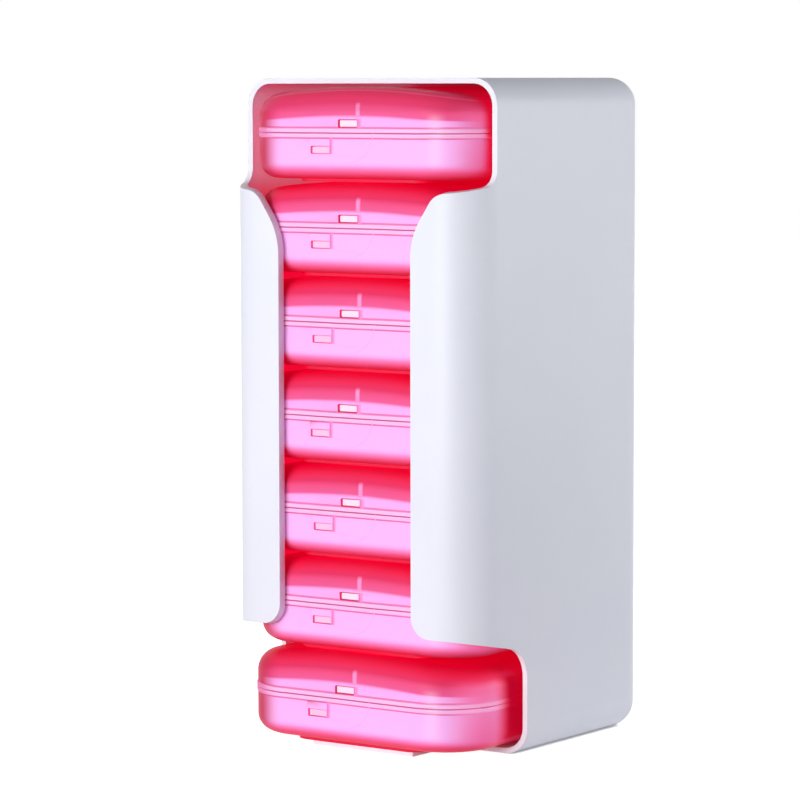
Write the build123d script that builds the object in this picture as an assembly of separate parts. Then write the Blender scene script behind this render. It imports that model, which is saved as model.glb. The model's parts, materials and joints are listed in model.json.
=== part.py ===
from build123d import *
import math
import os

# Weekly pill tower: an open-fronted case holds seven hinged pill boxes in one column.
# Sizes are millimetres. +X is right, +Y is back, +Z is up, and the origin is the centre of the
# footprint. Heights inside a box are counted from the underside of its foot.

# Column
box_count = 7
box_pitch = 28.0
column_headroom = 1.0

# The boxes lie loosely. Each leans to one side by a share of its side clearance, from the top box
# down, and the lowest also stands forward in its mouth.
box_lean = (-0.27, -0.27, 0.0, -0.53, 0.13, -0.2)
lowest_box_lean = -0.85
lowest_box_forward = 1.2

# Pill box
box_width = 84.6
box_depth = 86.0
box_corner = 18.0
box_wall = 1.2
seam_height = 14.5
base_round = 5.4
lid_round = 6.8
crown_rise = 3.4
crown_flat = 0.15
rim_height = 1.4
rim_proud = 0.3
rim_soft = 0.3
foot_width = 48.0
foot_depth = 76.0
foot_height = 0.8
foot_corner = 6.0
divider_thickness = 1.0
divider_gap = 0.2

# Rear hinge of a pill box
pin_radius = 0.8
pin_clearance = 0.06
knuckle_radius = 1.7
knuckle_length = 9.6
knuckle_count = 5
knuckle_gap = 0.3
knuckle_relief = 0.3

# Front catches of a pill box
catch_width = 7.4
catch_proud = 0.25
window_width = 6.8
window_height = 2.2
lid_window_rise = 1.7
base_window_drop = 3.9
lid_catch_offset = -0.4
base_catch_offset = -10.5
hook_thickness = 0.9
hook_root = 4.0
hook_gap = 0.2
tooth_gap = 0.2
tooth_setback = 0.35

# Case
case_wall = 1.6
front_wall = 2.6
front_corner = 14.3
rear_corner = 9.0
edge_round = 8.2
side_clearance = 1.5
front_clearance = 0.8
rear_clearance = 1.0

# Slot between the two front flanges
slot_width = 48.0
slot_foot_round = 6.3
shoulder_width = 65.0
shoulder_angle = 56.0
shoulder_low_round = 20.0
shoulder_high_round = 6.0

# Loading mouth at the top and dispensing mouth at the bottom
sill_drop = 2.8
sill_angle = 10.8
sill_round = 5.0
top_mouth_setback = 13.4
lintel_rise = 7.45
lintel_angle = 10.8
lintel_round = 10.0
bottom_mouth_setback = 29.4
tongue_width = 36.6
tongue_setback = 9.0

# Rear panel
panel_depth = 6.0
lip_depth = 3.0
lip_overlap = 1.6
lip_thickness = 1.2
lip_gap = 0.15
lip_stop = 12.0
ridge_radius = 0.5
ridge_proud = 0.4
ridge_length = 30.0
ridge_gap = 0.15
ridge_setback = 1.5
ridge_heights = (60.0, 140.0)

# Sizes that follow from the ones above
cut_margin = 5.0
case_width = box_width + 2 * (side_clearance + case_wall)
case_depth = (
    front_wall + front_clearance + box_depth + 2 * knuckle_radius + rear_clearance + case_wall
)
case_height = 2 * case_wall + box_count * box_pitch + column_headroom
case_front = -case_depth / 2
case_back = case_depth / 2
box_front = case_front + front_wall + front_clearance
box_back = box_front + box_depth
box_middle = (box_front + box_back) / 2
hinge_y = box_back + knuckle_radius
sill_height = case_wall + (box_count - 1) * box_pitch - sill_drop
lintel_height = case_wall + box_pitch + lintel_rise
panel_start = case_back - panel_depth


def slab(width, front, back, low, high):
    # A plain block centred on X.
    block = Box(width, back - front, high - low)
    return Pos(0, (front + back) / 2, (low + high) / 2) * block


def rounded_slab(width, front, back, low, high, corner):
    # A block centred on X with its upright corners rounded.
    block = slab(width, front, back, low, high)
    return fillet(block.edges().filter_by(Axis.Z), corner)


def level_edges(solid, height):
    # The edges that lie wholly at one height.
    edges = []
    for edge in solid.edges():
        bounds = edge.bounding_box()
        if abs(bounds.min.Z - height) < 0.001 and abs(bounds.max.Z - height) < 0.001:
            edges.append(edge)
    return edges


def cross_bar(radius, start, end, y, z):
    # A round bar along X.
    bar = Cylinder(radius, end - start, rotation=(0, 90, 0))
    return Pos((start + end) / 2, y, z) * bar


def case_block(inset, front_inset):
    # The case's envelope, moved inwards by a wall, with its own inset at the front.
    low = inset
    high = case_height - inset
    width = case_width - 2 * inset
    block = slab(width, case_front + front_inset, case_back - inset, low, high)
    block = fillet(block.edges().filter_by(Axis.Z).sort_by(Axis.Y)[:2], front_corner - inset)
    block = fillet(block.edges().filter_by(Axis.Z).sort_by(Axis.Y)[-2:], rear_corner - inset)
    return fillet(level_edges(block, low) + level_edges(block, high), edge_round - inset)


def side_prism(points, rounded_point, radius):
    # A prism across the whole width from an outline in Y and Z, with one corner rounded.
    outline = make_face(Plane.YZ * Polyline(*points, close=True))
    corner = Vector(0, *rounded_point)
    vertex = outline.vertices().sort_by_distance(corner)[0]
    outline = fillet(vertex, radius)
    half_width = case_width / 2 + cut_margin
    return extrude(outline, half_width, both=True)


def top_mouth():
    # The loading mouth: the front and corners are cut back above a sill that climbs to the rear.
    front = case_front - cut_margin
    back = case_front + top_mouth_setback
    climb = math.tan(math.radians(sill_angle))
    top = case_height + cut_margin
    corner = (back, sill_height + climb * top_mouth_setback)
    points = [(front, sill_height - climb * cut_margin), corner, (back, top), (front, top)]
    return side_prism(points, corner, sill_round)


def bottom_mouth():
    # The dispensing mouth: the front is cut back below a lintel, and the floor keeps a tongue.
    front = case_front - cut_margin
    back = case_front + bottom_mouth_setback
    fall = math.tan(math.radians(lintel_angle))
    corner = (back, lintel_height - fall * bottom_mouth_setback)
    points = [(front, lintel_height + fall * cut_margin), corner, (back, -cut_margin)]
    points.append((front, -cut_margin))
    tongue = slab(tongue_width, case_front + tongue_setback, back + cut_margin, -cut_margin, case_wall)
    return side_prism(points, corner, lintel_round) - tongue


def slot_prism(points, rounded, angle, reach):
    # A prism that reaches in from the front, from an outline in X and Z, along a sloping line.
    outline = make_face(Plane.XZ * Polyline(*points, close=True))
    for (x, z), radius in rounded:
        for side in (-1, 1):
            vertex = outline.vertices().sort_by_distance(Vector(side * x, 0, z))[0]
            outline = fillet(vertex, radius)
    slope = math.tan(math.radians(angle))
    depth = reach + cut_margin
    start = Pos(0, case_front - cut_margin, -slope * cut_margin)
    run = Vector(0, 1, slope)
    return extrude(start * outline, depth * run.length, dir=run)


def mirrored(points):
    # Closes an outline that is given for +X, from bottom to top, with its mirror image.
    return points + [(-x, z) for x, z in reversed(points)]


def slot():
    # The upright gap between the flanges, which opens out in a shoulder at the sill and flares
    # with a round corner at the lintel. The shoulder runs on into the curved corners of the wall.
    half = slot_width / 2
    middle = (sill_height + lintel_height) / 2
    wide = case_width / 2 + cut_margin
    shoulder_x = shoulder_width / 2
    shoulder_low = sill_height - (shoulder_x - half) * math.tan(math.radians(shoulder_angle))
    low_corner = (half, shoulder_low)
    high_corner = (shoulder_x, sill_height)
    top = case_height + cut_margin
    upper = mirrored([(half, middle), low_corner, high_corner, (wide, sill_height), (wide, top)])
    rounded = [(low_corner, shoulder_low_round), (high_corner, shoulder_high_round)]
    upper_cut = slot_prism(upper, rounded, sill_angle, top_mouth_setback - sill_round)
    foot_corner_point = (half, lintel_height)
    lower = mirrored([(wide, 0), (wide, lintel_height), foot_corner_point, (half, middle + cut_margin)])
    lower_cut = slot_prism(lower, [(foot_corner_point, slot_foot_round)], -lintel_angle, front_wall)
    return upper_cut + lower_cut


def snap_ridges(radius):
    # Upright half-round ridges on the outer faces of the rear panel's lip.
    face = case_width / 2 - case_wall - lip_gap
    ridges = []
    for side in (-1, 1):
        for height in ridge_heights:
            ridge = Cylinder(radius, ridge_length)
            x = side * (face - ridge_radius + ridge_proud)
            ridges.append(Pos(x, panel_start - ridge_setback, height) * ridge)
    return ridges


def tower_shell():
    # One moulding, open at the rear: side walls, floor, ceiling and the two front flanges.
    wall = case_block(0, 0) - case_block(case_wall, front_wall)
    rear = case_back + cut_margin
    wall -= slab(2 * case_width, panel_start, rear, -cut_margin, case_height + cut_margin)
    shell = wall - top_mouth() - bottom_mouth() - slot()
    for groove in snap_ridges(ridge_radius + ridge_gap):
        shell -= groove
    return shell


def rear_panel():
    # The dished back, with a lip that enters the shell and snaps into its grooves. The lip stops
    # short of the ceiling, so that it clears the top box.
    rear = case_back + cut_margin
    above = case_height + cut_margin
    lip_top = case_height - lip_stop
    wall = case_block(0, 0) - case_block(case_wall, front_wall)
    panel = wall & slab(2 * case_width, panel_start, rear, -cut_margin, above)
    lip_inner = case_block(case_wall + lip_gap + lip_thickness, front_wall)
    lip_start = panel_start - lip_depth
    entering = case_block(case_wall + lip_gap, front_wall) - lip_inner
    panel += entering & slab(2 * case_width, lip_start, panel_start, -cut_margin, lip_top)
    carried = case_block(case_wall, front_wall) - lip_inner
    carried &= slab(2 * case_width, panel_start, panel_start + lip_overlap, -cut_margin, lip_top)
    panel += carried
    for ridge in snap_ridges(ridge_radius):
        panel += ridge
    return panel


def base_block(inset):
    # The base's envelope up to the seam, moved inwards by an inset.
    offset = rim_proud + inset
    width = box_width - 2 * offset
    low = foot_height + inset
    block = rounded_slab(
        width, box_front + offset, box_back - offset, low, seam_height, box_corner - offset
    )
    return fillet(level_edges(block, low), base_round - inset)


def lid_block(inset):
    # The lid's envelope above the seam: a pillow whose top is arched across the width.
    offset = rim_proud + inset
    width = box_width - 2 * offset
    front = box_front + offset
    back = box_back - offset
    high = box_pitch + crown_flat - inset
    block = rounded_slab(width, front, back, seam_height, box_pitch + cut_margin, box_corner - offset)
    half_chord = box_width / 2 - rim_proud
    crown_radius = (half_chord**2 + crown_rise**2) / (2 * crown_rise) - inset
    barrel = Cylinder(crown_radius, box_depth + 2 * cut_margin, rotation=(90, 0, 0))
    block &= Pos(0, box_middle, high - crown_radius) * barrel
    top_edges = [edge for edge in block.edges() if edge.bounding_box().min.Z > seam_height + cut_margin]
    return fillet(top_edges, lid_round - inset)


def rim_band(low, high):
    # The raised bead beside the seam, softened along its outer edges.
    band = rounded_slab(box_width, box_front, box_back, low, high, box_corner)
    return fillet(level_edges(band, low) + level_edges(band, high), rim_soft)


def dividers(low, high):
    # Two crossing walls that part the box into four compartments.
    along = slab(divider_thickness, box_front, box_back, low, high)
    half = divider_thickness / 2
    across = slab(box_width, box_middle - half, box_middle + half, low, high)
    return along + across


def knuckle_span(index, spread):
    # Start and end along X of one hinge knuckle, made longer by a spread at each end.
    step = knuckle_length + knuckle_gap
    start = (index - knuckle_count / 2) * step + knuckle_gap / 2
    return start - spread, start + knuckle_length + spread


def add_knuckles(part, first, low, high):
    # Gives a base or lid every second knuckle, and clears room for the other part's knuckles.
    for index in range(knuckle_count):
        own = index % 2 == first
        if own:
            start, end = knuckle_span(index, 0)
            web = slab(end - start, box_back - rim_proud, hinge_y, low, high)
            part += Pos((start + end) / 2, 0, 0) * web
            part += cross_bar(knuckle_radius, start, end, hinge_y, seam_height)
        else:
            start, end = knuckle_span(index, knuckle_gap)
            part -= cross_bar(knuckle_radius + knuckle_relief, start, end, hinge_y, seam_height)
    length = knuckle_count * (knuckle_length + knuckle_gap)
    bore = cross_bar(pin_radius + pin_clearance, -length, length, hinge_y, seam_height)
    return part - bore


def window_cut(offset, low):
    # The opening through the front wall that a catch's tooth sits in.
    back = box_front + rim_proud + box_wall + hook_gap
    cut = slab(window_width, box_front - cut_margin, back, low, low + window_height)
    return Pos(offset, 0, 0) * cut


def hook(offset, root, tip, window_low):
    # A springy tab behind the front wall, with a tooth that fills a window in the other part.
    wall_face = box_front + rim_proud
    tab_face = wall_face + box_wall + hook_gap
    width = window_width - 2 * tooth_gap
    tab = slab(width, tab_face, tab_face + hook_thickness, min(root, tip), max(root, tip))
    tooth_low = window_low + tooth_gap
    tooth_high = window_low + window_height - tooth_gap
    tooth = slab(width, wall_face + tooth_setback, tab_face, tooth_low, tooth_high)
    return Pos(offset, 0, 0) * (tab + tooth)


def hook_room(offset, low, high):
    # The space a hook needs behind the other part's front wall.
    face = box_front + rim_proud + box_wall
    width = window_width + 2 * hook_gap
    room = slab(width, face, face + hook_thickness + 2 * hook_gap, low, high)
    return Pos(offset, 0, 0) * room


def box_base():
    # The lower half: a round-bottomed tray with a foot, a cross of dividers and a front catch.
    envelope = base_block(0)
    cavity = base_block(box_wall)
    base = envelope - cavity
    base += rim_band(seam_height - rim_height, seam_height) - cavity
    floor = foot_height + box_wall
    base += dividers(floor - box_wall / 2, seam_height - divider_gap) & envelope
    foot_front = box_middle - foot_depth / 2
    foot_back = box_middle + foot_depth / 2
    base += rounded_slab(foot_width, foot_front, foot_back, 0, floor - box_wall / 2, foot_corner)
    window_low = seam_height - base_window_drop - window_height
    tab_front = box_front + rim_proud - catch_proud
    tab = slab(catch_width, tab_front, tab_front + box_wall, window_low, seam_height - rim_height)
    base += Pos(base_catch_offset, 0, 0) * tab
    base -= window_cut(base_catch_offset, window_low)
    lid_window_low = seam_height + lid_window_rise
    hook_tip = lid_window_low + window_height
    base += hook(lid_catch_offset, seam_height - hook_root, hook_tip, lid_window_low)
    root_face = box_front + rim_proud + box_wall
    width = window_width - 2 * tooth_gap
    root = slab(width, root_face, root_face + hook_gap, seam_height - hook_root, seam_height - hook_gap)
    base += Pos(lid_catch_offset, 0, 0) * root
    return add_knuckles(base, 0, seam_height - knuckle_radius, seam_height)


def box_lid():
    # The upper half: a crowned cover with ribs over the dividers and a front catch.
    envelope = lid_block(0)
    cavity = lid_block(box_wall)
    lid = envelope - cavity
    lid += rim_band(seam_height, seam_height + rim_height) - cavity
    ribs = dividers(seam_height + divider_gap, box_pitch) & envelope
    window_low = seam_height + lid_window_rise
    ribs -= hook_room(lid_catch_offset, seam_height, window_low + window_height + hook_gap)
    lid += ribs
    lid -= slab(box_width, box_front, box_back, box_pitch, box_pitch + cut_margin)
    tab_front = box_front + rim_proud - catch_proud
    tab_top = window_low + window_height
    tab = slab(catch_width, tab_front, tab_front + box_wall, seam_height + rim_height, tab_top)
    lid += Pos(lid_catch_offset, 0, 0) * tab
    lid -= window_cut(lid_catch_offset, window_low)
    base_window_low = seam_height - base_window_drop - window_height
    lid += hook(base_catch_offset, seam_height + hook_root, base_window_low, base_window_low)
    root_face = box_front + rim_proud + box_wall
    width = window_width - 2 * tooth_gap
    root = slab(width, root_face, root_face + hook_gap, seam_height + hook_gap, seam_height + hook_root)
    lid += Pos(base_catch_offset, 0, 0) * root
    return add_knuckles(lid, 1, seam_height, seam_height + knuckle_radius)


def hinge_pin():
    # The steel pin through all the knuckles.
    step = knuckle_length + knuckle_gap
    half = knuckle_count * step / 2 - knuckle_gap / 2
    return cross_bar(pin_radius, -half, half, hinge_y, seam_height)


os.makedirs("parts", exist_ok=True)

pieces = {"tower_shell": tower_shell(), "rear_panel": rear_panel()}
base = box_base()
lid = box_lid()
pin = hinge_pin()
for number in range(1, box_count + 1):
    lowest = number == box_count
    lean = lowest_box_lean if lowest else box_lean[(number - 1) % len(box_lean)]
    forward = lowest_box_forward if lowest else 0
    place = Pos(lean * side_clearance, -forward, case_wall + (box_count - number) * box_pitch)
    pieces[f"box_{number}_base"] = place * base
    pieces[f"box_{number}_lid"] = place * lid
    pieces[f"box_{number}_hinge_pin"] = place * pin

for name, solid in pieces.items():
    export_step(solid, f"parts/{name}.step")
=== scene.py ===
import bpy
import json
import math
from mathutils import Matrix, Vector


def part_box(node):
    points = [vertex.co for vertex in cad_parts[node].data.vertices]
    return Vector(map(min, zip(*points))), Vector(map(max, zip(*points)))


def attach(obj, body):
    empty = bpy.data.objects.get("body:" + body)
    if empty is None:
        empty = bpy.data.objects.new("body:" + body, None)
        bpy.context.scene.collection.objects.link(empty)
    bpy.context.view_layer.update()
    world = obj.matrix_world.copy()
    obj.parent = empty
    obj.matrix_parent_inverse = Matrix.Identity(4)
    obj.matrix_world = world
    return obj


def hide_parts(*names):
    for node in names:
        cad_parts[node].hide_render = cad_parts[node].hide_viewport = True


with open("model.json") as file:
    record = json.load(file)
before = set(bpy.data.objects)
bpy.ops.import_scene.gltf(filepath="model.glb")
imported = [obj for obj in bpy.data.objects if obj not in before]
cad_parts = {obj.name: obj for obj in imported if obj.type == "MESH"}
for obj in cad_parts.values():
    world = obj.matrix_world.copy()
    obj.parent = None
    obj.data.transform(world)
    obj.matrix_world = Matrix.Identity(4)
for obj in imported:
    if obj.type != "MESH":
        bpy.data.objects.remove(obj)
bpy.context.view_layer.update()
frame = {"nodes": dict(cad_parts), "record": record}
print("frame loaded:", len(frame["nodes"]), "nodes")

mm = 0.001

# what all the pieces share, read from the frame
column = {
    "boxes": 7,
    "caseTop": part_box("tower_shell")[1].z,
    "caseFront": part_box("tower_shell")[0].y,
    "boxFront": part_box("box_3_base")[0].y,
}

# nodes are laid out in rows, in the order in which they are made
nodeGrid = {"across": 220, "down": 260, "rowLength": 8}

# rays that each test of how near the neighbours are sends out
nearnessRays = 12


def newMaterial(name):
    material = bpy.data.materials.new(name)
    material.use_nodes = True
    tree = material.node_tree
    return material, tree, tree.nodes["Principled BSDF"]


def addNode(tree, kind, **values):
    node = tree.nodes.new(kind)
    row, place = divmod(len(tree.nodes), nodeGrid["rowLength"])
    node.location = (nodeGrid["across"] * place, -nodeGrid["down"] * row)
    for key, value in values.items():
        setattr(node, key, value)
    return node


def feed(socket, value):
    # a socket takes a plain value or another node's output
    if isinstance(value, bpy.types.NodeSocket):
        socket.id_data.links.new(value, socket)
    else:
        socket.default_value = value


def feedAll(node, values):
    for name, value in values.items():
        feed(node.inputs[name], value)


def paint(colour):
    # a colour as a picture shows it, 0 to 255, in the shader's own terms
    def linear(value):
        value /= 255
        return value / 12.92 if value <= 0.04045 else ((value + 0.055) / 1.055) ** 2.4
    return tuple(linear(value) for value in colour) + (1,)


def addMath(tree, operation, *values):
    node = addNode(tree, "ShaderNodeMath", operation=operation)
    for socket, value in zip(node.inputs, values):
        feed(socket, value)
    return node.outputs["Value"]


def addProduct(tree, *values):
    product = values[0]
    for value in values[1:]:
        product = addMath(tree, "MULTIPLY", product, value)
    return product


def addShare(tree, value, low, high):
    # 0 at low, 1 at high, and smooth between
    node = addNode(tree, "ShaderNodeMapRange", interpolation_type="SMOOTHSTEP")
    feedAll(node, {"Value": value, "From Min": low, "From Max": high})
    return node.outputs["Result"]


def addStep(tree, value, at, blend):
    # a share that goes from 0 to 1 between two offsets from one place
    return addShare(tree, value, at + blend[0], at + blend[1])


def addMix(tree, share, under, over, blend="MIX"):
    # several sockets of this node share a name, so those for colours go by their numbers
    node = addNode(tree, "ShaderNodeMix", data_type="RGBA", blend_type=blend)
    for index, value in ((0, share), (6, under), (7, over)):
        feed(node.inputs[index], value)
    return node.outputs[2]


def addRamp(tree, place, stops):
    # stops are pairs of a place and a colour with its alpha
    node = addNode(tree, "ShaderNodeValToRGB")
    elements = node.color_ramp.elements
    while len(elements) < len(stops):
        elements.new(0.5)
    for element, (position, colour) in zip(elements, stops):
        element.position = position
        element.color = colour
    feed(node.inputs["Fac"], place)
    return node.outputs["Color"]


def addNoise(tree, place, size, detail=2):
    node = addNode(tree, "ShaderNodeTexNoise")
    feedAll(node, {"Vector": place, "Scale": size, "Detail": detail})
    return node.outputs["Fac"]


def addBump(tree, height, strength, depth):
    node = addNode(tree, "ShaderNodeBump")
    feedAll(node, {"Height": height, "Strength": strength, "Distance": depth})
    return node.outputs["Normal"]


def addSplit(tree, vector):
    node = addNode(tree, "ShaderNodeSeparateXYZ")
    feed(node.inputs["Vector"], vector)
    return [node.outputs[axis] for axis in "XYZ"]


def addVectorMath(tree, operation, first, second, result):
    node = addNode(tree, "ShaderNodeVectorMath", operation=operation)
    feed(node.inputs[0], first)
    feed(node.inputs[1], second)
    return node.outputs[result]


def addNearness(tree, reach):
    # how open the surface is to its neighbours within a reach, 1 where nothing is near
    node = addNode(tree, "ShaderNodeAmbientOcclusion", samples=nearnessRays)
    node.inputs["Distance"].default_value = reach
    return node.outputs["AO"]


# white case: satin moulded plastic. Pink bounce light from the boxes is painted on its inner walls, and
# more on its ceiling, and deep red light and shade is painted on the walls beside the closed column.
casePlastic = {
    "white": (238, 239, 247),
    "shade": (235, 236, 245),
    "toneStops": (0.3, 0.7),
    # painted pink bounce light from the boxes on the inner faces: its colour, reach, share and turns
    "inside": (236, 84, 140),
    "insideDepth": (-2 * mm, -14 * mm),
    "insideReach": 16 * mm,
    "insideShut": (0.85, 0.35),
    "insideMost": 0.16,
    "ceilingTurn": (-0.3, -0.9),
    "ceilingMost": 0.95,
    "floorTurn": (0.9, 0.3),
    # painted glow of daylight through the thin side walls
    "wallGlow": (0.15, 0.10, 0.155, 1),
    # painted deep red light and shade on the walls beside the closed column, and its painted red glow
    "paintedColumnRed": (228, 20, 76),
    "redGlow": (0.35, 0.002, 0.03, 1),
    "columnTop": (160 * mm, 174 * mm),
    "columnFoot": (30 * mm, 34 * mm),
    "behindFront": (4 * mm, 5 * mm),
    "roughness": (0.36, 0.44),
    "specular": 0.2,
    "cloudSize": 22.0,
    "cloudDetail": 3,
    "grainSize": 1400.0,
    "grainHeight": 0.012,
    "grainDepth": 0.1 * mm,
}


def makeCasePlastic():
    value = casePlastic
    material, tree, shader = newMaterial("casePlastic")
    coordinate = addNode(tree, "ShaderNodeTexCoord").outputs
    cloud = addNoise(tree, coordinate["Object"], value["cloudSize"], value["cloudDetail"])
    grain = addNoise(tree, coordinate["Object"], value["grainSize"])
    tones = [paint(value["shade"]), paint(value["white"])]
    colour = addRamp(tree, cloud, list(zip(value["toneStops"], tones)))
    spread = addNode(tree, "ShaderNodeMapRange")
    feedAll(spread, {"Value": cloud, "To Min": value["roughness"][0], "To Max": value["roughness"][1]})
    # an inner face looks back at the middle of the case
    middle = (0, 0, column["caseTop"] / 2)
    fromMiddle = addVectorMath(tree, "SUBTRACT", coordinate["Object"], middle, "Vector")
    outward = addVectorMath(tree, "DOT_PRODUCT", fromMiddle, coordinate["Normal"], "Value")
    inside = addShare(tree, outward, *value["insideDepth"])
    # the painted pink bounce light is strongest on the ceiling, and leaves out the floor
    shut = addShare(tree, addNearness(tree, value["insideReach"]), *value["insideShut"])
    acrossTurn, _, upTurn = addSplit(tree, coordinate["Normal"])
    ceiling = addShare(tree, upTurn, *value["ceilingTurn"])
    most = addMath(tree, "MULTIPLY_ADD", ceiling, value["ceilingMost"] - value["insideMost"],
                   value["insideMost"])
    paintedBounceShare = addProduct(tree, inside, addMath(tree, "MAXIMUM", shut, ceiling), most,
                        addShare(tree, upTurn, *value["floorTurn"]))
    colour = addMix(tree, paintedBounceShare, colour, paint(value["inside"]))
    # behind the flanges, deep red light and shade from the closed column is painted on the walls, with a
    # painted red glow
    _, y, z = addSplit(tree, coordinate["Object"])
    wall = addProduct(tree, inside, addStep(tree, y, column["caseFront"], value["behindFront"]))
    aboveColumn = addShare(tree, z, *value["columnTop"])
    behind = addProduct(tree, wall, addMath(tree, "SUBTRACT", 1, aboveColumn),
                        addShare(tree, z, *value["columnFoot"]))
    colour = addMix(tree, behind, colour, paint(value["paintedColumnRed"]))
    glow = addMix(tree, behind, (0, 0, 0, 1), value["redGlow"])
    # a painted glow on the inner faces of the thin side walls beside the top box stands for daylight coming
    # through them
    through = addProduct(tree, wall, addMath(tree, "ABSOLUTE", acrossTurn), aboveColumn)
    glow = addMix(tree, through, glow, value["wallGlow"])
    feedAll(shader, {
        "Base Color": colour,
        "Emission Color": glow,
        "Emission Strength": 1,
        "Roughness": spread.outputs["Result"],
        "Specular IOR Level": value["specular"],
        "Normal": addBump(tree, grain, value["grainHeight"], value["grainDepth"]),
    })
    return material


# frosted pink plastic, with much of its light and shade painted into its colour. Heights are mm above
# the foot of the piece's own box, and depths are mm behind the middle of the case. Turns go from -1 on
# the left side wall over 0 on the front to 1 on the right side wall.
pinkPlastic = {
    "roughness": 0.42,
    "specular": 0.12,
    "subsurface": 0.12,
    "subsurfaceScale": 1.5 * mm,
    "subsurfaceRadius": (1.0, 0.2, 0.4),
    "frostSize": 900.0,
    "frostDetail": 4,
    "frostHeight": 0.03,
    "frostDepth": 0.2 * mm,
    "waverSize": 35.0,
    "waver": 0.3,
    "archFrom": (16.4, 19.0),
    "leftTurn": (0.0, -0.56),
    "rightTurn": (0.45, 1.0),
    # a painted soft highlight on the rounded right corner
    "shine": (255, 240, 255),
    "shineTurn": 0.33,
    "shineWidth": 0.2,
    "shineMost": 0.2,
    "shineFrom": (3.0, 7.0),
    "shineTo": (20.6, 18.6),
    # painted deep red shade where light doesn't reach and on the side walls, also the colour of the painted
    # glow
    "deep": (226, 0, 56),
    "deepReach": 9 * mm,
    "deepShut": (0.72, 0.2),
    "clearLow": (3.0, 6.0),
    "clearHigh": (24.0, 21.0),
    "underHeight": (7.0, 5.0),
    "underLit": 0.6,
    "sideTurn": (0.9, 0.98),
    "sideReach": (40.6, 41.6),
    "sideDepth": (-28.0, -19.0),
    "topSideLit": 0.3,
    # a painted glow for the light that comes through the plastic
    "glow": 0.24,
    "glowOpen": 0.4,
    "glowRight": 1.1,
}

# the number of a box, from the top, is told apart half way between two numbers
numberBlend = 0.1

# the height ramps hold the pink of the plastic together with painted light and shade: the pale band is
# lighter where the front light falls, the rounds at the foot and the crown are painted deep red shade, and
# thin lines of painted shade run along the rim edges and the seam. The left and right ramps paint the ends
# darker.
basePink = {
    "middle": [
        (-0.5, (200, 34, 64)), (1.0, (200, 50, 80)), (2.0, (232, 72, 112)), (3.0, (242, 96, 148)),
        (4.0, (248, 134, 196)), (5.0, (250, 172, 232)), (6.0, (250, 184, 242)), (12.6, (250, 182, 242)),
        (12.8, (226, 108, 166)), (13.05, (226, 108, 166)), (13.3, (250, 188, 232)),
        (14.2, (250, 188, 232)), (14.35, (206, 92, 148)), (14.6, (206, 92, 148)), (14.9, (255, 218, 242)),
    ],
    "left": [
        (-0.5, (190, 12, 46)), (3.0, (196, 26, 66)), (6.0, (196, 26, 74)), (12.8, (196, 26, 74)),
        (13.2, (232, 126, 178)), (14.4, (232, 126, 178)),
    ],
    "right": [
        (-0.5, (206, 20, 60)), (2.0, (220, 56, 100)), (4.0, (238, 104, 160)), (12.8, (244, 128, 184)),
        (13.2, (250, 166, 212)), (14.4, (250, 166, 212)),
    ],
    "arch": 0.0,
}

lidPink = {
    "middle": [
        (14.0, (255, 204, 236)), (14.35, (206, 92, 148)), (14.6, (206, 92, 148)), (14.75, (252, 190, 232)),
        (15.7, (252, 190, 232)), (15.95, (232, 116, 178)), (16.2, (232, 116, 178)), (16.5, (250, 176, 236)),
        (18.8, (250, 172, 234)), (19.2, (248, 160, 226)), (19.9, (234, 92, 148)), (22.0, (234, 78, 130)),
        (23.5, (226, 52, 98)), (24.8, (234, 48, 90)), (26.4, (238, 30, 70)), (28.3, (222, 12, 54)),
    ],
    "left": [
        (14.0, (232, 122, 176)), (15.8, (232, 126, 178)), (16.2, (200, 26, 76)), (20.0, (200, 26, 76)),
        (24.0, (200, 26, 70)), (26.0, (208, 22, 66)), (28.3, (204, 10, 50)),
    ],
    "right": [
        (14.0, (250, 166, 212)), (15.8, (250, 162, 208)), (16.2, (244, 116, 172)), (20.4, (248, 116, 168)),
        (23.0, (250, 106, 156)), (25.0, (240, 56, 104)), (28.3, (218, 12, 54)),
    ],
    "arch": 0.0016,
}

# marks on the front wall, among them painted shade and painted highlights, in mm from the middle of the box
# and above its foot. A blend is a pair of offsets between which a mark fades out.
windows = {
    "lid": {"x": -0.4, "z": 17.3, "width": 6.8, "height": 2.2, "line": 0.12, "band": 1.2,
            "bandFoot": 15.9, "bandHead": 18.6, "tooth": (255, 222, 242), "outline": (222, 44, 108)},
    "base": {"x": -10.5, "z": 9.5, "width": 6.8, "height": 2.2, "line": 0.08, "band": 1.0,
             "bandFoot": 8.4, "bandHead": 13.0, "tooth": (255, 196, 228), "outline": (238, 96, 166)},
}
windowBlends = {
    "corner": 0.5,
    "tooth": (0.05, -0.05),
    "line": (0.1, -0.06),
    "bandStart": (-0.1, 0.2),
    "bandEnd": (0.6, -0.5),
    "bandFoot": (-0.3, 0.1),
    "bandHead": (0.4, -0.2),
    "shadowBandColour": (250, 142, 206),
}
frontMarks = {
    "front": {"y": -40.0, "blend": (0.5, 0.0)},
    "thumb": {"x": -0.33, "z": 14.8, "radius": 8.96, "line": 0.12, "blend": (0.15, -0.15),
              "fade": (-7.0, 6.0), "colour": (248, 172, 234)},
    "rib": {"x": 3.1, "width": 1.5, "blend": (0.3, -0.4), "foot": (19.4, 19.7), "head": (23.9, 22.3),
            "colour": (250, 150, 205)},
    # painted light on the topmost lid: a duller veil, and a thin highlight along the crown
    "veil": {"from": (20.2, 21.6), "most": 0.4, "colour": (212, 72, 116)},
    "crown": {"z": 27.05, "arch": 0.0021, "width": 0.34, "most": 0.45, "colour": (255, 96, 146)},
}


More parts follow.
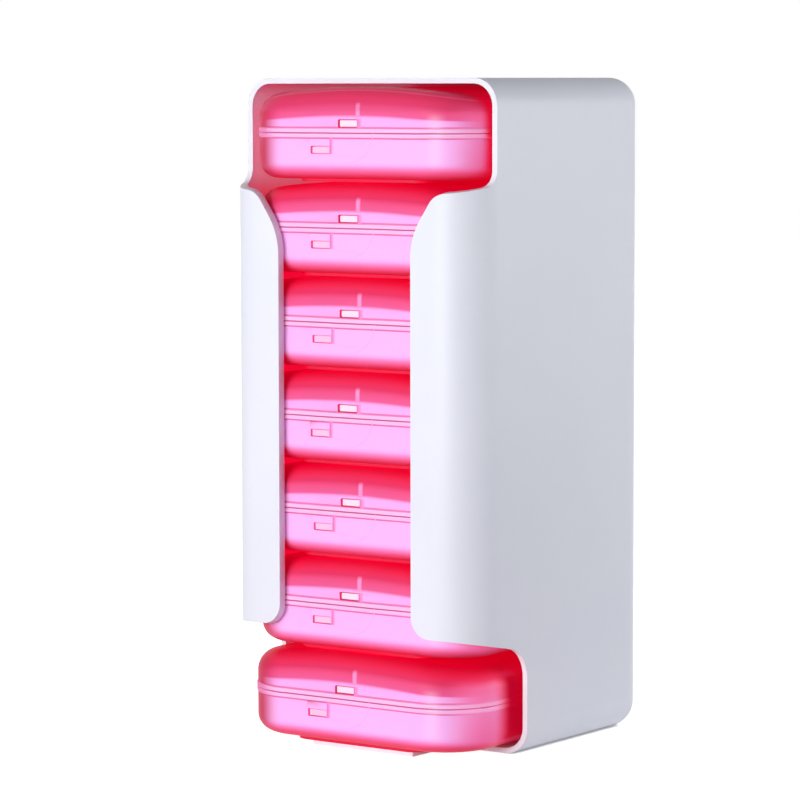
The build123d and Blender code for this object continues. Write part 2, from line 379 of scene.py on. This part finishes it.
def addWindow(tree, colour, x, z, front, value):
    # a pale tooth in a thin red outline of painted shade, with a soft band of painted shadow to its right
    blend = windowBlends
    across = addMath(tree, "SUBTRACT", x, value["x"])
    up = addMath(tree, "SUBTRACT", z, value["z"])
    wide = addMath(tree, "SUBTRACT", addMath(tree, "ABSOLUTE", across), value["width"] / 2)
    tall = addMath(tree, "SUBTRACT", addMath(tree, "ABSOLUTE", up), value["height"] / 2)
    edge = addMath(tree, "SMOOTH_MAX", wide, tall, blend["corner"])
    tooth = addStep(tree, edge, 0, blend["tooth"])
    line = addStep(tree, addMath(tree, "ABSOLUTE", edge), value["line"], blend["line"])
    beside = addMath(tree, "SUBTRACT", across, value["width"] / 2)
    band = addProduct(tree,
                      addStep(tree, beside, 0, blend["bandStart"]),
                      addStep(tree, beside, value["band"], blend["bandEnd"]),
                      addStep(tree, z, value["bandFoot"], blend["bandFoot"]),
                      addStep(tree, z, value["bandHead"], blend["bandHead"]))
    for share, over in ((band, blend["shadowBandColour"]), (tooth, value["tooth"]), (line, value["outline"])):
        colour = addMix(tree, addProduct(tree, share, front), colour, paint(over))
    return colour


def addThumbArc(tree, colour, x, z, front, value):
    # the edge of the thumb recess shows as a faint arc, clearest at its right end
    across = addMath(tree, "SUBTRACT", x, value["x"])
    up = addMath(tree, "SUBTRACT", z, value["z"])
    squares = addMath(tree, "ADD", addProduct(tree, across, across), addProduct(tree, up, up))
    off = addMath(tree, "SUBTRACT", addMath(tree, "SQRT", squares), value["radius"])
    line = addStep(tree, addMath(tree, "ABSOLUTE", off), value["line"], value["blend"])
    share = addProduct(tree, line, front, addShare(tree, x, *value["fade"]))
    return addMix(tree, share, colour, paint(value["colour"]))


def addRib(tree, colour, x, z, front, value):
    # the divider behind the wall shows as a pale upright streak
    off = addMath(tree, "ABSOLUTE", addMath(tree, "SUBTRACT", x, value["x"]))
    share = addProduct(tree,
                       addStep(tree, off, value["width"] / 2, value["blend"]),
                       addShare(tree, z, *value["head"]),
                       addShare(tree, z, *value["foot"]),
                       front)
    return addMix(tree, share, colour, paint(value["colour"]))


def addCrownLight(tree, colour, x, z, topmost, veil, line):
    # painted light from the mouth makes the topmost lid duller, and a thin painted highlight runs along its
    # crown
    dulled = addProduct(tree, topmost, addShare(tree, z, *veil["from"]), veil["most"])
    colour = addMix(tree, dulled, colour, paint(veil["colour"]))
    level = addMath(tree, "MULTIPLY_ADD", addProduct(tree, x, x), line["arch"], z)
    off = addMath(tree, "ABSOLUTE", addMath(tree, "SUBTRACT", level, line["z"]))
    share = addProduct(tree, addShare(tree, off, line["width"], 0), topmost, line["most"])
    return addMix(tree, share, colour, paint(line["colour"]))


def addHeightRamp(tree, height, stops):
    # stops are pairs of a height in mm and a colour
    low = stops[0][0]
    high = stops[-1][0]
    scaled = addNode(tree, "ShaderNodeMapRange")
    feedAll(scaled, {"Value": height, "From Min": low, "From Max": high})
    return addRamp(tree, scaled.outputs["Result"],
                   [((z - low) / (high - low), paint(colour)) for z, colour in stops])


def addPaintedShade(tree, x, y, z, turn, front, topmost, lowest):
    # light doesn't reach where the plastic is shut in or lies deep in the case: deep red shade is painted
    # there
    value = pinkPlastic
    shut = addShare(tree, addNearness(tree, value["deepReach"]), *value["deepShut"])
    clear = addProduct(tree, front,
                       addShare(tree, z, *value["clearLow"]),
                       addShare(tree, z, *value["clearHigh"]))
    shut = addProduct(tree, shut, addMath(tree, "SUBTRACT", 1, clear))
    # the painted shade is lighter on the underside of the lowest box, which gets light back from the table
    under = addProduct(tree, lowest, addShare(tree, z, *value["underHeight"]))
    shut = addProduct(tree, shut, addMath(tree, "MULTIPLY_ADD", under, -value["underLit"], 1))
    # the side walls, whose outer edges stand proud, are painted deep red shade but for what is near the
    # mouths
    outer = addShare(tree, addMath(tree, "ABSOLUTE", x), *value["sideReach"])
    sideways = addShare(tree, addMath(tree, "ABSOLUTE", turn), *value["sideTurn"])
    side = addProduct(tree,
                      addMath(tree, "MAXIMUM", outer, sideways),
                      addShare(tree, y, *value["sideDepth"]),
                      addMath(tree, "MULTIPLY_ADD", topmost, -value["topSideLit"], 1))
    return addMath(tree, "MAXIMUM", shut, side)


def makePinkPlastic(name, shades):
    value = pinkPlastic
    material, tree, shader = newMaterial(name)
    coordinate = addNode(tree, "ShaderNodeTexCoord").outputs
    inBox = addNode(tree, "ShaderNodeAttribute", attribute_name="inBox")
    x, y, z = addSplit(tree, inBox.outputs["Vector"])
    order = addNode(tree, "ShaderNodeAttribute", attribute_name="order").outputs["Fac"]
    topmost = addStep(tree, order, 1.5, (numberBlend, -numberBlend))
    lowest = addStep(tree, order, column["boxes"] - 0.5, (-numberBlend, numberBlend))
    turn = addSplit(tree, coordinate["Normal"])[0]
    # height along the arch of the lid, with a slight waver
    waver = addNoise(tree, coordinate["Object"], value["waverSize"])
    waver = addMath(tree, "MULTIPLY_ADD", waver, value["waver"], -value["waver"] / 2)
    bow = addProduct(tree, x, x, addShare(tree, z, *value["archFrom"]))
    height = addMath(tree, "MULTIPLY_ADD", bow, shades["arch"], z)
    height = addMath(tree, "ADD", height, waver)
    colour = addHeightRamp(tree, height, shades["middle"])
    # painted shade: the left end is darker, and so is the right end towards the side wall
    left = addShare(tree, turn, *value["leftTurn"])
    colour = addMix(tree, left, colour, addHeightRamp(tree, height, shades["left"]))
    right = addShare(tree, turn, *value["rightTurn"])
    colour = addMix(tree, right, colour, addHeightRamp(tree, height, shades["right"]))
    # a painted soft highlight on the rounded right corner
    offShine = addMath(tree, "ABSOLUTE", addMath(tree, "SUBTRACT", turn, value["shineTurn"]))
    shine = addProduct(tree,
                       addShare(tree, offShine, value["shineWidth"], 0),
                       addShare(tree, z, *value["shineFrom"]),
                       addShare(tree, z, *value["shineTo"]),
                       value["shineMost"])
    colour = addMix(tree, shine, colour, paint(value["shine"]))
    # marks with painted shade and painted highlights, most of them on the front wall only
    front = addStep(tree, y, frontMarks["front"]["y"], frontMarks["front"]["blend"])
    if shades is basePink:
        colour = addThumbArc(tree, colour, x, z, front, frontMarks["thumb"])
    else:
        colour = addRib(tree, colour, x, z, front, frontMarks["rib"])
        colour = addCrownLight(tree, colour, x, z, topmost, frontMarks["veil"], frontMarks["crown"])
    for window in windows.values():
        colour = addWindow(tree, colour, x, z, front, window)
    # painted deep red shade, and a painted glow for the light that comes through the plastic, which is
    # strongest at the right end
    paintedShadeShare = addPaintedShade(tree, x, y, z, turn, front, topmost, lowest)
    colour = addMix(tree, paintedShadeShare, colour, paint(value["deep"]))
    lit = addMath(tree, "MULTIPLY_ADD", right, value["glowRight"] - value["glowOpen"], value["glowOpen"])
    glow = addMix(tree, paintedShadeShare, addMix(tree, 1, colour, lit, "MULTIPLY"), paint(value["deep"]))
    frost = addNoise(tree, coordinate["Object"], value["frostSize"], value["frostDetail"])
    feedAll(shader, {
        "Base Color": colour,
        "Emission Color": glow,
        "Emission Strength": value["glow"],
        "Roughness": value["roughness"],
        "Specular IOR Level": value["specular"],
        "Subsurface Weight": value["subsurface"],
        "Subsurface Scale": value["subsurfaceScale"],
        "Subsurface Radius": value["subsurfaceRadius"],
        "Normal": addBump(tree, frost, value["frostHeight"], value["frostDepth"]),
    })
    return material


# steel wire of the hinge pins, drawn lengthwise
pinSteel = {
    "dark": (140, 140, 146),
    "bright": (165, 165, 170),
    "toneStops": (0.3, 0.7),
    "roughness": 0.3,
    "drawScale": (40.0, 4000.0, 4000.0),
    "drawHeight": 0.05,
    "drawDepth": 0.1 * mm,
}


def makePinSteel():
    value = pinSteel
    material, tree, shader = newMaterial("pinSteel")
    stretch = addNode(tree, "ShaderNodeMapping")
    feedAll(stretch, {"Vector": addNode(tree, "ShaderNodeTexCoord").outputs["Object"],
                      "Scale": value["drawScale"]})
    drawn = addNoise(tree, stretch.outputs["Vector"], 1)
    tones = [paint(value["dark"]), paint(value["bright"])]
    feedAll(shader, {
        "Base Color": addRamp(tree, drawn, list(zip(value["toneStops"], tones))),
        "Metallic": 1,
        "Roughness": value["roughness"],
        "Normal": addBump(tree, drawn, value["drawHeight"], value["drawDepth"]),
    })
    return material


def deselectAll():
    if bpy.context.object and bpy.context.object.mode != "OBJECT":
        bpy.ops.object.mode_set(mode="OBJECT")
    bpy.ops.object.select_all(action="DESELECT")


def selectOnly(piece):
    deselectAll()
    piece.select_set(True)
    bpy.context.view_layer.objects.active = piece


def bodyOf(nodeName):
    for body, members in frame["record"]["behaviour"]["bodies"].items():
        if nodeName in members:
            return body


# softened copies of the moulded nodes: their sharp edges get a small round
moulding = {
    "mergeDistance": 0.002 * mm,
    "sharpAngle": 32,
    "smoothAngle": 36,
    "segments": 3,
    "shellRound": 0.45 * mm,
    "panelRound": 0.25 * mm,
    "boxRound": 0.12 * mm,
}


def markPlaceInBox(piece, number):
    # each point keeps its place in its own box, in mm: across from the middle, in depth as if the box
    # stood where box 3 does, and up from the foot. It also keeps the number of that box from the top.
    low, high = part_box(f"box_{number}_base")
    origin = Vector(((low.x + high.x) / 2, low.y - column["boxFront"], low.z))
    inBox = piece.data.attributes.new("inBox", "FLOAT_VECTOR", "POINT")
    for point, vertex in zip(inBox.data, piece.data.vertices):
        point.vector = (vertex.co - origin) / mm
    order = piece.data.attributes.new("order", "FLOAT", "POINT")
    for point in order.data:
        point.value = number


def mouldedCopy(nodeName, pieceName, edgeRound, material):
    node = frame["nodes"][nodeName]
    piece = node.copy()
    piece.data = node.data.copy()
    # the copy drops the marks that the frame has put on its node
    for key in list(piece.keys()):
        del piece[key]
    piece.name = pieceName
    piece.parent = None
    piece.matrix_world = Matrix.Identity(4)
    bpy.context.scene.collection.objects.link(piece)
    selectOnly(piece)
    bpy.ops.object.mode_set(mode="EDIT")
    bpy.ops.mesh.select_all(action="SELECT")
    bpy.ops.mesh.remove_doubles(threshold=moulding["mergeDistance"])
    if piece.data.has_custom_normals:
        bpy.ops.mesh.customdata_custom_splitnormals_clear()
    bpy.ops.object.mode_set(mode="OBJECT")
    soften = piece.modifiers.new("soften", "BEVEL")
    soften.width = edgeRound
    soften.segments = moulding["segments"]
    soften.limit_method = "ANGLE"
    soften.angle_limit = math.radians(moulding["sharpAngle"])
    soften.use_clamp_overlap = True
    soften.harden_normals = False
    bpy.ops.object.modifier_apply(modifier=soften.name)
    bpy.ops.object.shade_smooth_by_angle(angle=math.radians(moulding["smoothAngle"]))
    piece.data.materials.clear()
    piece.data.materials.append(material)
    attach(piece, bodyOf(nodeName))
    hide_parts(nodeName)
    return piece


print("making materials")
caseWhite = makeCasePlastic()
trayPink = makePinkPlastic("trayPink", basePink)
coverPink = makePinkPlastic("coverPink", lidPink)
steel = makePinSteel()

print("softening the case")
mouldedCopy("tower_shell", "caseMoulding", moulding["shellRound"], caseWhite)
mouldedCopy("rear_panel", "caseBack", moulding["panelRound"], caseWhite)

for number in range(1, column["boxes"] + 1):
    print("finishing box", number)
    boxRound = moulding["boxRound"]
    tray = mouldedCopy(f"box_{number}_base", f"tray{number}", boxRound, trayPink)
    cover = mouldedCopy(f"box_{number}_lid", f"cover{number}", boxRound, coverPink)
    markPlaceInBox(tray, number)
    markPlaceInBox(cover, number)
    pin = frame["nodes"][f"box_{number}_hinge_pin"]
    pin.data.materials.clear()
    pin.data.materials.append(steel)

# plain pale studio: floor and backdrop are seen as white, and light is weaker from above
studio = {
    "floorWidth": 6.0,
    "floorColour": (244, 244, 246),
    "floorRoughness": 0.8,
    "floorSpecular": 0.1,
    "floorSeen": 0.97,
    "contactReach": 1.2 * mm,
    "zenith": (0.05, 0.06, 0.08, 1),
    "zenithFrom": 0.42,
    "horizon": (0.50, 0.51, 0.54, 1),
    "seenWhite": 1.0,
    "lampAim": (0, 0, 0.1),
}


def addSeen(tree):
    # 1 for what the camera sees straight, in a mirror or through glass
    path = addNode(tree, "ShaderNodeLightPath").outputs
    seen = addMath(tree, "MAXIMUM", path["Is Camera Ray"], path["Is Glossy Ray"])
    return addMath(tree, "MAXIMUM", seen, path["Is Transmission Ray"])


def makeFloor():
    deselectAll()
    bpy.ops.mesh.primitive_plane_add(size=studio["floorWidth"], location=(0, 0, 0))
    floor = bpy.context.object
    floor.name = "floor"
    material, tree, shader = newMaterial("floorPaper")
    # the camera sees the floor as white, but for the thin shade where the case stands on it
    contact = addNearness(tree, studio["contactReach"])
    feedAll(shader, {
        "Base Color": paint(studio["floorColour"]),
        "Roughness": studio["floorRoughness"],
        "Specular IOR Level": studio["floorSpecular"],
        "Emission Color": (1, 1, 1, 1),
        "Emission Strength": addProduct(tree, addSeen(tree), contact, studio["floorSeen"]),
    })
    floor.data.materials.append(material)


def makeWorld():
    world = bpy.data.worlds.new("studioWorld")
    bpy.context.scene.world = world
    world.use_nodes = True
    tree = world.node_tree
    # one background lights the object, and the white one is what the camera sees
    light = tree.nodes["Background"]
    rise = addSplit(tree, addNode(tree, "ShaderNodeTexCoord").outputs["Generated"])[2]
    sky = [(0.0, studio["horizon"]), (studio["zenithFrom"], studio["zenith"])]
    feed(light.inputs["Color"], addRamp(tree, rise, sky))
    white = addNode(tree, "ShaderNodeBackground")
    feedAll(white, {"Strength": studio["seenWhite"], "Color": (1, 1, 1, 1)})
    mix = addNode(tree, "ShaderNodeMixShader")
    feed(mix.inputs["Fac"], addSeen(tree))
    feed(mix.inputs[1], light.outputs["Background"])
    feed(mix.inputs[2], white.outputs["Background"])
    feed(tree.nodes["World Output"].inputs["Surface"], mix.outputs["Shader"])


# soft lamps, each aimed at the middle of the tower
lamps = {
    "front": {"place": (-0.16, -1.79, 0.12), "size": (1.0, 1.0), "watts": 41},
    "rearRight": {"place": (1.38, 1.16, 0.12), "size": (1.0, 1.0), "watts": 25.5},
}


def makeLamps():
    aim = Vector(studio["lampAim"])
    for name, value in lamps.items():
        light = bpy.data.lights.new(name, "AREA")
        light.shape = "RECTANGLE"
        light.size, light.size_y = value["size"]
        light.energy = value["watts"]
        lamp = bpy.data.objects.new(name, light)
        bpy.context.scene.collection.objects.link(lamp)
        lamp.location = value["place"]
        lamp.rotation_mode = "QUATERNION"
        lamp.rotation_quaternion = (aim - lamp.location).to_track_quat("-Z", "Y")


# the photograph's view: place in metres, turn and tilt in degrees from a level view along +Y
camera = {
    "place": (0.63315, -0.91057, 0.19921),
    "turn": 35.383,
    "tilt": -4.991,
    "roll": -0.11,
    "lens": 164.2,
    "sensor": 36,
    "clip": (0.05, 50),
}


def makeCamera():
    data = bpy.data.cameras.new("photoCamera")
    data.lens = camera["lens"]
    data.sensor_width = camera["sensor"]
    data.clip_start, data.clip_end = camera["clip"]
    view = bpy.data.objects.new("photoCamera", data)
    bpy.context.scene.collection.objects.link(view)
    view.location = camera["place"]
    turn = Matrix.Rotation(math.radians(camera["turn"]), 4, "Z")
    tilt = Matrix.Rotation(math.radians(90 + camera["tilt"]), 4, "X")
    roll = Matrix.Rotation(math.radians(camera["roll"]), 4, "Z")
    view.rotation_mode = "QUATERNION"
    view.rotation_quaternion = (turn @ tilt @ roll).to_quaternion()
    bpy.context.scene.camera = view


print("making the studio")
makeFloor()
makeWorld()
makeLamps()
makeCamera()
bpy.context.scene.view_settings.view_transform = "Standard"

print("done")
